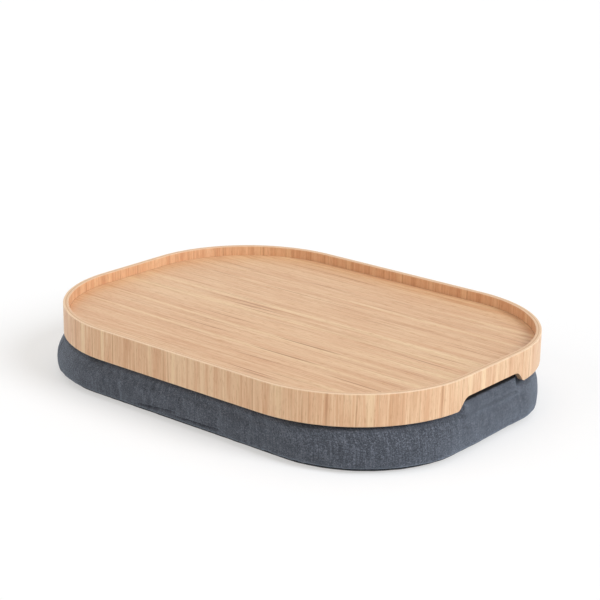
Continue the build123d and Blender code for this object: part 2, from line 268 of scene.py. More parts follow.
class Graph:
    """A material under construction, with short names for its nodes."""

    def __init__(self, name, roughness, sheen=0.0):
        self.material = bpy.data.materials.new(name)
        self.material.use_nodes = True
        self.tree = self.material.node_tree
        self.shader = self.tree.nodes["Principled BSDF"]
        self.shader.inputs["Roughness"].default_value = roughness
        self.shader.inputs["Sheen Weight"].default_value = sheen

    def node(self, kind, **settings):
        made = self.tree.nodes.new(kind)
        for key, value in settings.items():
            setattr(made, key, value)
        return made

    def put(self, socket, value):
        if isinstance(value, bpy.types.NodeSocket):
            self.tree.links.new(value, socket)
        elif value is not None:
            socket.default_value = value

    def math(self, operation, a, b=None, c=None):
        made = self.node("ShaderNodeMath", operation=operation)
        for socket, value in zip(made.inputs, (a, b, c)):
            self.put(socket, value)
        return made.outputs[0]

    def grain(self, across, along, width, length, seed, detail=2.0, roughness=0.5):
        """Noise drawn out along the grain: features width across it and length along it."""
        place = self.node("ShaderNodeCombineXYZ")
        values = (self.math("DIVIDE", across, width), self.math("DIVIDE", along, length), seed)
        for socket, value in zip(place.inputs, values):
            self.put(socket, value)
        made = self.node("ShaderNodeTexNoise")
        self.put(made.inputs["Vector"], place.outputs[0])
        made.inputs["Scale"].default_value = 1.0
        made.inputs["Detail"].default_value = detail
        made.inputs["Roughness"].default_value = roughness
        return made.outputs[0]

    def wave(self, value, pitch):
        """A sine wave along a value in millimetres."""
        return self.math("SINE", self.math("MULTIPLY", value, 2 * pi / pitch))

    def spread(self, value, low, high, to_low=0.0, to_high=1.0):
        made = self.node("ShaderNodeMapRange", clamp=True)
        for socket, number in zip(made.inputs, (value, low, high, to_low, to_high)):
            self.put(socket, number)
        return made.outputs[0]

    def chance(self, value):
        made = self.node("ShaderNodeTexWhiteNoise", noise_dimensions="1D")
        self.put(made.inputs["W"], value)
        return made.outputs[0]

    def mix(self, factor, a, b, blend="MIX"):
        made = self.node("ShaderNodeMix", data_type="RGBA", blend_type=blend)
        self.put(made.inputs[0], factor)
        self.put(made.inputs[6], a)
        self.put(made.inputs[7], b)
        return made.outputs[2]

    def tint(self, colour, mask, low, high, most, other):
        """Lay another colour over, up to a share of most, as the mask rises from low to high."""
        return self.mix(self.spread(mask, low, high, 0.0, most), colour, other)

    def from_middle(self, value, middle):
        return self.math("ABSOLUTE", self.math("SUBTRACT", value, middle))

    def place(self, layout="Object"):
        """The point in millimetres: on the object or, with the layout UV, on the flat cloth."""
        split = self.node("ShaderNodeSeparateXYZ")
        self.put(split.inputs[0], self.node("ShaderNodeTexCoord").outputs[layout])
        return [self.math("MULTIPLY", socket, MM) for socket in split.outputs]

    def rough(self, value):
        self.put(self.shader.inputs["Roughness"], value)

    def finished(self, colour, height, strength, distance):
        """The material, with its colour and its bump from a height."""
        made = self.node("ShaderNodeBump")
        made.inputs["Strength"].default_value = strength
        made.inputs["Distance"].default_value = distance
        self.put(made.inputs["Height"], height)
        self.put(self.shader.inputs["Normal"], made.outputs[0])
        self.put(self.shader.inputs["Base Color"], colour)
        return self.material


def rim_run(g):
    """Distance along the rim's outline, height, and depth inside its outer face, in millimetres."""
    x, y, z = g.place()
    radius = TRAY_RADIUS * MM
    straight_x = TRAY_HALF_LENGTH * MM - radius
    straight_y = TRAY_HALF_WIDTH * MM - radius
    quarter_length = straight_x + radius * pi / 2 + straight_y
    far_x = g.math("ABSOLUTE", x)
    far_y = g.math("ABSOLUTE", y)
    corner_x = g.math("MAXIMUM", g.math("SUBTRACT", far_x, straight_x), 0.0)
    corner_y = g.math("MAXIMUM", g.math("SUBTRACT", far_y, straight_y), 0.0)
    turn = g.math("ARCTAN2", corner_x, corner_y)
    run = g.math("MULTIPLY_ADD", turn, radius, g.math("MINIMUM", far_x, straight_x))
    run = g.math("ADD", run, g.math("SUBTRACT", straight_y, g.math("MINIMUM", far_y, straight_y)))
    back = g.math("GREATER_THAN", y, 0.0)
    rest = g.math("MULTIPLY_ADD", run, -2.0, 2 * quarter_length)
    run = g.math("MULTIPLY_ADD", back, rest, run)
    run = g.math("MULTIPLY", run, g.math("SIGN", x))
    squares = g.math("MULTIPLY_ADD", corner_x, corner_x, g.math("MULTIPLY", corner_y, corner_y))
    depth = g.math("SUBTRACT", radius, g.math("SQRT", squares))
    return run, z, depth


def wood(g, across, along, leaf_width, seed, sway, stretch, line_strength):
    """Straight-grained veneer laid in leaves: returns its colour and the height of its pores."""
    pale = screen(243, 209, 168)
    cream = screen(246, 216, 172)
    tan = screen(225, 177, 136)
    rose = screen(222, 171, 130)
    brown = screen(196, 139, 94)
    pore = screen(174, 115, 72)

    leaf_place = g.math("DIVIDE", across, leaf_width)
    leaf_place = g.math("ADD", leaf_place, g.spread(g.chance(seed), 0.0, 1.0, 0.2, 0.8))
    leaf = g.math("FLOOR", leaf_place)
    leaf_tone = g.chance(g.math("ADD", leaf, seed))
    leaf_shift = 311.0
    shifted = g.math("MULTIPLY_ADD", leaf_tone, leaf_shift, across)
    along = g.math("DIVIDE", along, stretch)
    wander = g.grain(shifted, along, width=70.0, length=190.0, seed=seed + 1.3, detail=1.0)
    shifted = g.math("MULTIPLY_ADD", g.math("SUBTRACT", wander, 0.5), sway, shifted)

    band = g.grain(shifted, along, width=9.0, length=420.0, seed=seed + 2.1, detail=1.0)
    ring = g.grain(shifted, along, width=2.2, length=120.0, seed=seed + 3.7)
    streak = g.grain(shifted, along, width=1.6, length=55.0, seed=seed + 5.9, roughness=0.6)
    fibre = g.grain(shifted, along, width=1.0, length=9.0, seed=seed + 8.2, roughness=0.65)
    line = g.grain(shifted, along, width=1.9, length=95.0, seed=seed + 16.3, detail=0.0)
    stain = g.grain(shifted, along, width=5.5, length=130.0, seed=seed + 12.4, detail=1.0)
    light_band = g.grain(shifted, along, width=11.0, length=500.0, seed=seed + 23.8, detail=0.0)

    colour = g.mix(g.spread(band, 0.34, 0.66), pale, tan)
    colour = g.mix(g.spread(leaf_tone, 0.1, 0.9, 0.15, 0.6), colour, rose)
    colour = g.tint(colour, light_band, 0.62, 0.70, 0.6, cream)
    colour = g.tint(colour, ring, 0.48, 0.70, 0.34, brown)
    colour = g.tint(colour, stain, 0.55, 0.72, 0.34, brown)
    colour = g.tint(colour, streak, 0.48, 0.62, 0.5, pale)
    colour = g.tint(colour, fibre, 0.54, 0.70, 0.34, pore)
    colour = g.tint(colour, line, 0.70, 0.82, line_strength, pore)
    seam_half = 0.35
    seam = g.from_middle(g.math("FRACT", leaf_place), 0.5)
    colour = g.tint(colour, seam, 0.5 - seam_half / leaf_width, 0.5, 0.55, pore)
    height = g.math("SUBTRACT", g.spread(streak, 0.3, 0.7, 0.0, 0.4), g.spread(fibre, 0.52, 0.75))
    return colour, height


def rim_face_material():
    """Face veneer with its grain upright, with painted highlights pale on the edges and painted shade darker
    inside the rim.
    """
    g = Graph("rim_face_veneer", 0.42)
    run, height, depth = rim_run(g)
    colour, pores = wood(g, run, height, leaf_width=83.0, seed=4.0, sway=3.0, stretch=1.0, line_strength=0.45)
    bottom = RIM_BOTTOM * MM
    top = RIM_TOP * MM
    # Painted highlights: paler bands along the rim's bottom and top edges
    low_edge_highlight = g.spread(height, bottom + 0.3, bottom + 0.9, 0.25, 0.0)
    high_edge_highlight = g.spread(height, top - 1.0, top - 0.3, 0.0, 0.7)
    colour = g.mix(g.math("MAXIMUM", low_edge_highlight, high_edge_highlight), colour, screen(244, 214, 180))
    # Painted shade: darker on the rim's inner face
    inner = g.spread(depth, 2.5, 3.5, 0.0, 0.35)
    colour = g.mix(inner, colour, screen(214, 160, 112), "MULTIPLY")
    g.rough(g.spread(pores, -1.0, 0.4, 0.6, 0.38))
    return g.finished(colour, pores, 0.35, 0.00012)


def rim_ply_material():
    """Edges of the rim's glued plies, seen on its top face and in the hand grips."""
    g = Graph("rim_plies", 0.45)
    run, height, depth = rim_run(g)
    ply = g.math("DIVIDE", depth, PLY_THICKNESS * MM)
    number = g.math("FLOOR", ply)
    tone = g.chance(g.math("ADD", number, 3.0))
    speck = g.grain(run, depth, width=14.0, length=0.30, seed=2.0, roughness=0.6)
    pores = g.grain(run, depth, width=2.2, length=0.16, seed=5.0, detail=1.0)
    colour = g.mix(tone, screen(240, 207, 170), screen(222, 180, 138))
    colour = g.tint(colour, speck, 0.42, 0.66, 0.4, screen(203, 158, 115))
    colour = g.tint(colour, pores, 0.58, 0.75, 0.4, screen(160, 112, 76))
    core = g.from_middle(depth, RIM_WALL / 2 * MM)
    colour = g.mix(g.spread(core, 0.25, 0.6, 0.55, 0.0), colour, screen(186, 134, 92))
    glue = g.from_middle(g.math("FRACT", ply), 0.5)
    colour = g.tint(colour, glue, 0.42, 0.5, 0.5, screen(176, 124, 82))
    return g.finished(colour, g.math("SUBTRACT", speck, glue), 0.25, 0.00008)


def deck_face_material():
    """Face veneer with its grain along the tray, with painted shade darkening it in the corner against the
    rim.
    """
    g = Graph("deck_veneer", 0.40)
    x, y, z = g.place()
    run, height, depth = rim_run(g)
    colour, pores = wood(g, y, x, leaf_width=118.0, seed=31.0, sway=7.0, stretch=1.15, line_strength=0.8)
    wall = RIM_WALL * MM
    # Painted shade: a dark line where the deck meets the rim
    colour = g.mix(g.spread(depth, wall, wall + 0.8, 0.7, 0.0), colour, screen(120, 78, 48))
    colour = g.mix(1.0, colour, screen(243, 239, 232), "MULTIPLY")
    g.rough(g.spread(pores, -1.0, 0.4, 0.58, 0.36))
    return g.finished(colour, pores, 0.3, 0.00012)


def deck_ply_material():
    """Edges of the deck's plies, one to a millimetre."""
    g = Graph("deck_plies", 0.6)
    x, y, z = g.place()
    tone = g.chance(g.math("FLOOR", z))
    speck = g.grain(x, y, width=1.6, length=18.0, seed=3.0, detail=3.0, roughness=0.6)
    colour = g.mix(tone, screen(226, 190, 148), screen(196, 150, 106))
    colour = g.tint(colour, speck, 0.4, 0.7, 0.5, screen(168, 120, 80))
    return g.finished(colour, speck, 0.3, 0.0001)


def heather(g, dark, middle, light, thread, painted_shade_mask=None):
    """Melange cloth: light and dark streaks of yarn in a fine plain weave, with painted shade near black
    where a shade mask is given.
    """
    across, along, up = g.place("UV")
    upright = g.grain(across, along, width=0.62, length=1.7, seed=1.0, roughness=0.6)
    level_yarn = g.grain(across, along, width=1.3, length=0.45, seed=4.4, detail=1.0)
    thread_tone = g.grain(across, along, width=0.9, length=16.0, seed=14.6, detail=0.0)
    cloud = g.grain(across, along, width=15.0, length=11.0, seed=9.1)
    fleck = g.grain(across, along, width=1.9, length=1.3, seed=21.7, detail=1.0)
    tone = g.math("MULTIPLY_ADD", upright, 0.48, g.math("MULTIPLY", level_yarn, 0.36))
    tone = g.math("MULTIPLY_ADD", thread_tone, 0.16, tone)
    tone = g.math("MULTIPLY_ADD", g.math("SUBTRACT", cloud, 0.5), 0.13, tone)
    tone = g.math("MULTIPLY_ADD", g.math("SUBTRACT", fleck, 0.5), 0.21, tone)
    colour = g.mix(g.spread(tone, 0.36, 0.50), dark, middle)
    colour = g.mix(g.spread(tone, 0.50, 0.64), colour, light)
    weave = g.math("MULTIPLY", g.wave(across, thread), g.wave(along, thread))
    fuzz = g.grain(across, along, width=0.22, length=0.5, seed=6.0, detail=1.0)
    knit = g.math("MULTIPLY_ADD", weave, 0.5, fuzz)
    colour = g.mix(g.spread(knit, 0.0, 1.1, 0.26, 0.0), colour, dark)
    if painted_shade_mask:
        # Painted shade: a near black cloth colour standing in for the shadow in the grip hollows
        painted_gap_shade = g.mix(g.spread(tone, 0.36, 0.64), screen(20, 19, 20), screen(44, 42, 43))
        colour = g.mix(painted_shade_mask, colour, painted_gap_shade)
    return g.finished(colour, g.math("ADD", knit, level_yarn), 0.45, 0.00022)


def in_grip_gap(g):
    """1 where shade is painted in the hollows behind the two hand grips, 0 on the rest of the cover."""
    x, y, z = g.place()

    def past(value, place, fade, before=0.0, after=1.0):
        return g.spread(value, place * MM - fade, place * MM + fade, before, after)

    far_x = g.math("ABSOLUTE", x)
    inside = past(far_x, GAP_SHADE_OUTER_X, 0.6, 1.0, 0.0)
    inside = g.math("MULTIPLY", inside, past(far_x, GAP_SHADE_INNER_X, 0.5))
    inside = g.math("MULTIPLY", inside, past(z, GAP_SHADE_LOW, 0.4))
    return g.math("MULTIPLY", inside, past(g.math("ABSOLUTE", y), GAP_SHADE_HALF_WIDTH, 1.0, 1.0, 0.0))


def cover_material(name, sheen):
    """The cushion's grey melange, with painted shade in the hollows behind the hand grips."""
    g = Graph(name, 0.92, sheen)
    g.shader.inputs["Sheen Tint"].default_value = (0.72, 0.84, 1.0, 1.0)
    return heather(g, screen(38, 40, 46), screen(69, 72, 79), screen(118, 122, 132), 0.62, in_grip_gap(g))


def base_material():
    """The base panel's coarser cloth, partly its own darker colour and partly painted shade for the shadowed
    strip along the floor.
    """
    g = Graph("base_cloth", 0.9, 0.04)
    return heather(g, screen(20, 22, 27), screen(33, 36, 42), screen(56, 60, 68), 0.9)


def liner_material():
    g = Graph("liner_cloth", 0.9, 0.05)
    x, y, z = g.place()
    weave = g.math("MULTIPLY", g.wave(x, 0.8), g.wave(z, 0.8))
    patch = g.grain(x, z, width=9.0, length=9.0, seed=2.0, detail=3.0)
    colour = g.mix(g.spread(patch, 0.35, 0.65), screen(205, 204, 198), screen(226, 225, 219))
    return g.finished(colour, weave, 0.3, 0.0001)


def bead_material():
    """Foam beads of about 3 mm, with painted shade darker towards the gaps between them."""
    g = Graph("foam_beads", 0.8)
    cells = g.node("ShaderNodeTexVoronoi")
    g.put(cells.inputs["Vector"], g.node("ShaderNodeTexCoord").outputs["Object"])
    cells.inputs["Scale"].default_value = 330.0
    distance = cells.outputs["Distance"]
    # Painted shade: pale in each bead's middle, darker towards the gaps between beads
    colour = g.mix(g.spread(distance, 0.1, 0.7), screen(246, 246, 243), screen(188, 188, 184))
    return g.finished(colour, g.math("MULTIPLY", distance, -1.0), 0.8, 0.0012)


def tape_material():
    """Zip tape: a fine herringbone."""
    g = Graph("zip_tape_cloth", 0.85, 0.1)
    x, y, z = g.place()
    column = g.math("PINGPONG", x, 1.1)
    twill = g.wave(g.math("ADD", column, z), 0.7)
    fuzz = g.grain(x, z, width=0.4, length=0.4, seed=3.0)
    tone = g.math("MULTIPLY_ADD", twill, 0.35, fuzz)
    colour = g.mix(g.spread(tone, 0.2, 0.9), screen(38, 41, 48), screen(70, 75, 84))
    return g.finished(colour, tone, 0.5, 0.00015)


def teeth_material():
    g = Graph("zip_teeth_plastic", 0.38)
    x, y, z = g.place()
    wear = g.grain(x, z, width=1.3, length=1.3, seed=7.0, detail=3.0)
    colour = g.mix(g.spread(wear, 0.4, 0.7), screen(44, 46, 51), screen(66, 69, 75))
    g.rough(g.spread(wear, 0.3, 0.7, 0.32, 0.5))
    return g.finished(colour, wear, 0.15, 0.00005)


def metal_material():
    """Painted metal, brushed and rubbed bright in places."""
    g = Graph("zip_painted_metal", 0.4)
    g.shader.inputs["Metallic"].default_value = 0.65
    x, y, z = g.place()
    brush = g.grain(z, x, width=0.12, length=4.0, seed=2.0)
    wear = g.grain(x, z, width=1.8, length=1.8, seed=5.0, detail=4.0, roughness=0.7)
    colour = g.mix(g.spread(brush, 0.3, 0.7), screen(58, 60, 65), screen(84, 87, 93))
    colour = g.tint(colour, wear, 0.66, 0.8, 0.5, screen(150, 152, 156))
    g.rough(g.spread(wear, 0.3, 0.7, 0.34, 0.52))
    return g.finished(colour, brush, 0.2, 0.00003)


def hook_material():
    """Rows of tiny hooks."""
    g = Graph("hook_tape_plastic", 0.5)
    x, y, z = g.place()
    rows = g.wave(y, 1.4)
    pegs = g.wave(x, 0.9)
    dots = g.math("MULTIPLY", g.math("MAXIMUM", rows, 0.0), g.math("MAXIMUM", pegs, 0.0))
    colour = g.mix(g.spread(dots, 0.0, 0.8), screen(26, 26, 29), screen(74, 75, 80))
    return g.finished(colour, dots, 0.9, 0.0006)


def loop_material():
    """Brushed loops."""
    g = Graph("loop_tape_pile", 0.95, 0.3)
    x, y, z = g.place()
    curl = g.grain(x, y, width=0.5, length=0.5, seed=1.0, detail=4.0, roughness=0.75)
    tuft = g.grain(x, y, width=3.0, length=3.0, seed=8.0)
    tone = g.math("MULTIPLY_ADD", tuft, 0.4, g.math("MULTIPLY", curl, 0.6))
    colour = g.mix(g.spread(tone, 0.35, 0.65), screen(27, 28, 32), screen(72, 75, 82))
    return g.finished(colour, curl, 0.9, 0.0006)


def thread_material():
    """Twisted sewing thread."""
    g = Graph("sewing_thread", 0.7, 0.2)
    x, y, z = g.place()
    twist = g.wave(g.math("ADD", g.math("ADD", x, y), z), 0.45)
    colour = g.mix(g.spread(twist, -1.0, 1.0), screen(62, 66, 76), screen(108, 114, 126))
    return g.finished(colour, twist, 0.4, 0.00008)


def smooth(value, low, high):
    """0 below low, 1 above high, and an S curve between."""
    share = min(max((value - low) / (high - low), 0.0), 1.0)
    return share * share * (3 - 2 * share)


def plateau(value, start, full, fading, gone):
    """1 between full and fading, 0 before start and after gone."""
    return smooth(value, start, full) * (1 - smooth(value, fading, gone))


def waves(run, height, depth, width, tall, seed):
    """Smooth noise along a seam and across it."""
    return noise.noise(Vector((run / width, height / tall, seed))) * depth


def ring_columns():
    """Columns round the cushion as (share of the straight in X, in Y, outward direction)."""
    straight = BELLY_HALF_LENGTH - BELLY_RADIUS
    ends = (BELLY_SHIFT_X - straight, -WINDOW_HALF, WINDOW_HALF, BELLY_SHIFT_X + straight)
    places = []
    for start, stop, pieces in zip(ends, ends[1:], LONG_SIDE_PIECES):
        places += [start + (stop - start) * step / pieces for step in range(pieces)]
    places.append(ends[-1])
    shares = [(place - BELLY_SHIFT_X) / straight for place in places]
    columns = []

    def arc(share_x, share_y, start):
        for step in range(1, CORNER_PIECES):
            columns.append((share_x, share_y, start + pi / 2 * step / CORNER_PIECES))

    def end(share_x, turn):
        for step in range(END_PIECES + 1):
            columns.append((share_x, share_x * (2 * step / END_PIECES - 1), turn))

    columns += [(share, -1, -pi / 2) for share in shares]
    arc(1, -1, -pi / 2)
    end(1, 0.0)
    arc(1, 1, 0.0)
    columns += [(share, 1, pi / 2) for share in reversed(shares)]
    arc(-1, 1, pi / 2)
    end(-1, pi)
    arc(-1, -1, pi)
    return columns


COLUMNS = ring_columns()
AROUND = len(COLUMNS)


def behind_grip(far_x, y, height, inset):
    """The reach and height of a point behind a hand grip, from its plain ones."""
    share = 1 - smooth(abs(y), *GRIP_SIDES)
    slack = SLACK * (1 - smooth(height, *LOOSE_HEIGHTS[2:]))
    swell = SWELL_REACH - SWELL_LEAN * (height - SWELL_FOOT) - slack
    gap = smooth(height, *HOLLOW_HEIGHTS[:2])
    reach = far_x + (swell - far_x) * plateau(height, *SWELL_HEIGHTS) * share - HOLLOW_DEPTH * gap * share
    under = BAG_FALL_SHARE * inset * smooth(height, *BAG_FALL_HEIGHTS)
    return reach, height - (HOLLOW_FALL * plateau(height, *HOLLOW_HEIGHTS) + under) * share


def level(height, draw_in, share, inset=0.0):
    """A ring of points at one height: share 0 is the belly's outline, 1 the block's."""
    def between(belly, block):
        return belly + (block - belly) * share - draw_in - inset

    half_length = between(BELLY_HALF_LENGTH, BLOCK_HALF_LENGTH)
    half_width = between(BELLY_HALF_WIDTH, BLOCK_HALF_WIDTH)
    radius = between(BELLY_RADIUS, BLOCK_RADIUS)
    shift_x = BELLY_SHIFT_X * (1 - share)
    shift_y = BELLY_SHIFT_Y * (1 - share)
    slack = END_SLACK * smooth(abs(height - BELLY_HEIGHT), *END_SLACK_AWAY)
    slack *= 1 - smooth(height, *END_SLACK_TOP)
    ring = []
    for share_x, share_y, turn in COLUMNS:
        reach = radius + draw_in * FRONT_FULLNESS * max(-sin(turn), 0.0)
        if share_x < 0:
            reach -= slack * max(-cos(turn), 0.0)
        else:
            fading = 1 - smooth(share_y, *RIGHT_FULLNESS_SPAN)
            reach += draw_in * RIGHT_FULLNESS * max(cos(turn), 0.0) * fading
        if share_y > 0:
            tuck = BACK_RIGHT_TUCK if share_x > 0 else BACK_LEFT_TUCK
            reach -= tuck * (1 - share) * sin(2 * turn) ** 2
        x = share_x * (half_length - radius) + reach * cos(turn) + shift_x
        y = share_y * (half_width - radius) + reach * sin(turn) + shift_y
        z = height
        if abs(y) < GRIP_SIDES[1] and height > SWELL_HEIGHTS[0]:
            far_x, z = behind_grip(abs(x) + inset, y, height, inset)
            x = share_x * (far_x - inset)
        ring.append(Vector((x, y, z)))
    return ring


def run_lengths():
    """Distance round the belly of each column, and the whole way round."""
    ring = level(BELLY_HEIGHT, 0.0, 0.0)
    runs = [0.0]
    for place, here in enumerate(ring):
        runs.append(runs[-1] + (ring[(place + 1) % AROUND] - here).length)
    return runs


RUNS = run_lengths()


def rise_of(levels):
    """Distance up the cloth of each level."""
    spots = [(height, draw + BLOCK_DRAW * share) for height, draw, share in levels]
    rises = [0.0]
    for spot, after in zip(spots, spots[1:]):
        rises.append(rises[-1] + dist(spot, after))
    return rises


def near_window(point):
    """1 at the zip, 0 away from it."""
    if point.y < ON_LONG_SIDE:
        return 0.0
    beside = 1 - smooth(abs(point.x) - WINDOW_HALF, *FLAT_BESIDE)
    below = 1 - smooth(WINDOW_LOW - point.z, *FLAT_BELOW)
    above = 1 - smooth(point.z - WINDOW_HIGH, *FLAT_ABOVE)
    return beside * below * above


def added(name, data):
    piece = bpy.data.objects.new(name, data)
    bpy.context.scene.collection.objects.link(piece)
    return piece


def close_over(work, layout, edge, scales, height):
    """Close a ring with smaller rings and a middle point, at the heights that a function gives."""
    points = [vert.co.copy() for vert in edge]
    faces = []
    outer = edge
    for scale in scales:
        places = [point * scale for point in points]
        ring = [work.verts.new((place.x, place.y, height(place))) for place in places]
        for column in range(AROUND):
            after = (column + 1) % AROUND
            faces.append(work.faces.new((outer[column], outer[after], ring[after], ring[column])))
        outer = ring
    middle = work.verts.new((0, 0, height(Vector((0, 0, 0)))))
    for column in range(AROUND):
        faces.append(work.faces.new((outer[column], outer[(column + 1) % AROUND], middle)))
    for face in faces:
        for loop in face.loops:
            loop[layout].uv = (loop.vert.co.x, loop.vert.co.y)


def grid_mesh(name, rings, rises, scales=(), height=None, underside=False):
    """A mesh through rings, laid out by run and rise. Scales close the last ring, underside the first."""
    mesh = bpy.data.meshes.new(name)
    work = bmesh.new()
    layout = work.loops.layers.uv.new("UVMap")
    rows = [[work.verts.new(point) for point in ring] for ring in rings]
    for row in range(len(rows) - 1):
        for column in range(AROUND):
            after = (column + 1) % AROUND
            corners = (
                (rows[row][column], row, column), (rows[row][after], row, column + 1),
                (rows[row + 1][after], row + 1, column + 1), (rows[row + 1][column], row + 1, column),
            )
            face = work.faces.new([corner[0] for corner in corners])
            for loop, (vert, at_row, at_column) in zip(face.loops, corners):
                loop[layout].uv = (RUNS[at_column], rises[at_row])
    if height:
        close_over(work, layout, rows[-1], scales, height)
    if underside:
        work.faces.new(list(reversed(rows[0])))
    bmesh.ops.recalc_face_normals(work, faces=work.faces)
    work.to_mesh(mesh)
    work.free()
    mesh.shade_smooth()
    return added(name, mesh)


def evaluated(piece):
    bpy.context.view_layer.update()
    return piece.evaluated_get(bpy.context.evaluated_depsgraph_get())


def subdivided(piece):
    """Round a piece off with one subdivision, kept in its mesh."""
    modifier = piece.modifiers.new("round", "SUBSURF")
    modifier.boundary_smooth = "PRESERVE_CORNERS"
    mesh = bpy.data.meshes.new_from_object(evaluated(piece))
    piece.modifiers.clear()
    old = piece.data
    piece.data = mesh
    bpy.data.meshes.remove(old)
    return piece


def inflate(piece, pinned):
    """Cloth simulation: the band swells out under the fill's pressure between its pinned seams.
    Returns how far each vertex stands out: its slack, and the cloth's own lumps round each row's mean."""
    trial = piece.copy()
    trial.data = piece.data.copy()
    bpy.context.scene.collection.objects.link(trial)
    held = trial.vertex_groups.new(name="held")
    for index, weight in enumerate(pinned):
        held.add([index], weight, "REPLACE")
    cloth = trial.modifiers.new("cloth", "CLOTH")
    settings = cloth.settings
    settings.vertex_group_mass = "held"
    settings.use_pressure = True
    settings.uniform_pressure_force = 400.0
    settings.tension_stiffness = 12
    settings.compression_stiffness = 6
    settings.shear_stiffness = 4
    settings.bending_stiffness = 1.2
    settings.mass = 0.006
    settings.quality = 5
    settings.shrink_min = -0.02
    settings.effector_weights.gravity = 0
    cloth.collision_settings.use_collision = False
    scene = bpy.context.scene
    for number in range(1, SIMULATED_FRAMES + 1):
        scene.frame_set(number)
    stands_out = [
        (after.co - before.co).dot(before.normal)
        for after, before in zip(evaluated(trial).data.vertices, piece.data.vertices)
    ]
    scene.frame_set(1)
    bpy.data.objects.remove(trial)
    result = []
    for start in range(0, len(stands_out), AROUND):
        row = list(zip(stands_out[start:start + AROUND], pinned[start:start + AROUND]))
        loose = [value for value, weight in row if weight < 0.5]
        mean = sum(loose) / len(loose) if loose else 0.0
        for value, weight in row:
            lump = min(max(value - mean, -LUMP_LIMIT), LUMP_LIMIT)
            result.append((SLACK + lump) * (1 - weight))
    return result


def furrow(aside, ridge, ridge_spread):
    """The depth of a fold with a low ridge on one side; aside is counted in fold widths."""
    return exp(-aside * aside) - ridge * exp(-((aside - RIDGE_ASIDE) ** 2) / ridge_spread)


def crease_depth(point):
    """The two long shallow creases above the base seam at the front."""
    if point.y > -ON_LONG_SIDE:
        return 0.0
    depth = 0.0
    for (x0, z0), (x1, z1) in CREASES:
        share = (point.x - x0) / (x1 - x0)
        aside = (point.z - z0 - (z1 - z0) * share) / CREASE_WIDTH
        depth += plateau(share, *CREASE_SPAN) * furrow(aside, 0.45, 1.6)
    return CREASE_DEPTH * depth


def corner_fold_depth(point):
    """The upright fold round the front left corner."""
    turn = atan2(
        point.y + BELLY_HALF_WIDTH - BELLY_RADIUS - BELLY_SHIFT_Y,
        point.x + BELLY_HALF_LENGTH - BELLY_RADIUS - BELLY_SHIFT_X,
    ) % (2 * pi)
    aside = (turn - CORNER_FOLD_TURN) * BELLY_RADIUS / CORNER_FOLD_WIDTH
    return CORNER_FOLD_DEPTH * furrow(aside, 0.5, 1.0) * plateau(point.z, *CORNER_FOLD_HEIGHTS)


def slit_fall(point):
    """How far the cushion's shoulder sinks at the short dark slit under the rim."""
    if point.y > -ON_LONG_SIDE:
        return 0.0
    beside = (point.x - SLIT_X) / SLIT_HALF
    return SLIT_DEPTH * exp(-beside ** 4) * plateau(point.z, *SLIT_HEIGHTS)


def rumple(point, run):
    """How far the cloth stands out from its even form."""
    height = point.z
    under = 1 - smooth(height, *RUMPLED_BELOW)
    zone = 0.35 + 0.65 * smooth(waves(run, 0.0, *ZONE), -0.1, 0.4)
    seam = exp(-max(height - BASE_SEAM, 0.0) / PUCKER_REACH)
    pucker = waves(run, height, *PUCKER) * zone * seam
    fold = waves(run, height, *FOLD) * zone * exp(-height / FOLD_REACH)
    uneven = waves(run, height, *LUMP) + waves(run, height, *RIPPLE) + fold
    return uneven * under * smooth(height, *RUMPLED_ABOVE) + pucker * under


def relief(side):
    """Lumps, puckers and folds of the cloth, once the band is rounded."""
    mesh = side.data
    layout = mesh.uv_layers[0].data
    runs = [0.0] * len(mesh.vertices)
    for polygon in mesh.polygons:
        for place, index in zip(polygon.loop_indices, polygon.vertices):
            runs[index] = layout[place].uv[0]
    outward = [vert.normal.copy() for vert in mesh.vertices]
    for index, vert in enumerate(mesh.vertices):
        bulge = rumple(vert.co, runs[index]) * (1 - near_window(vert.co)) - crease_depth(vert.co)
        vert.co.z -= slit_fall(vert.co)
        bulge -= corner_fold_depth(vert.co)
        vert.co += outward[index] * bulge
    return side


def side_rings():
    """The side band's rows, drawn in by the slack and straight round the zip's window."""
    rings = []
    for height, draw, share in SIDE_LEVELS:
        ring = level(height, draw + SLACK * plateau(height, *SLACK_HEIGHTS), share)
        plain = level(height, 0.0, 0.0)
        for column, point in enumerate(ring):
            flat = Vector((point.x, plain[column].y, point.z))
            ring[column] = point.lerp(flat, near_window(point))
        rings.append(ring)
    return rings


def fill_out(side):
    """Push the side band out between its seams, less unevenly behind the grips."""
    pinned = []
    for vert in side.data.vertices:
        edge = 1 - plateau(vert.co.z, *LOOSE_HEIGHTS)
        pinned.append(max(edge, near_window(vert.co)))
    even = [SLACK * (1 - weight) for weight in pinned]
    moved = inflate(side, pinned)
    outward = [vert.normal.copy() for vert in side.data.vertices]
    for index, vert in enumerate(side.data.vertices):
        taut = TAUT_SHARE * (1 - smooth(abs(vert.co.y), *TAUT_SIDES))
        out = moved[index] + (even[index] - moved[index]) * taut
        vert.co += outward[index] * out * (1 - near_window(vert.co))


def row_at(height):
    """The side band's row nearest to a height."""
    return min(range(len(SIDE_LEVELS)), key=lambda row: abs(SIDE_LEVELS[row][0] - height))


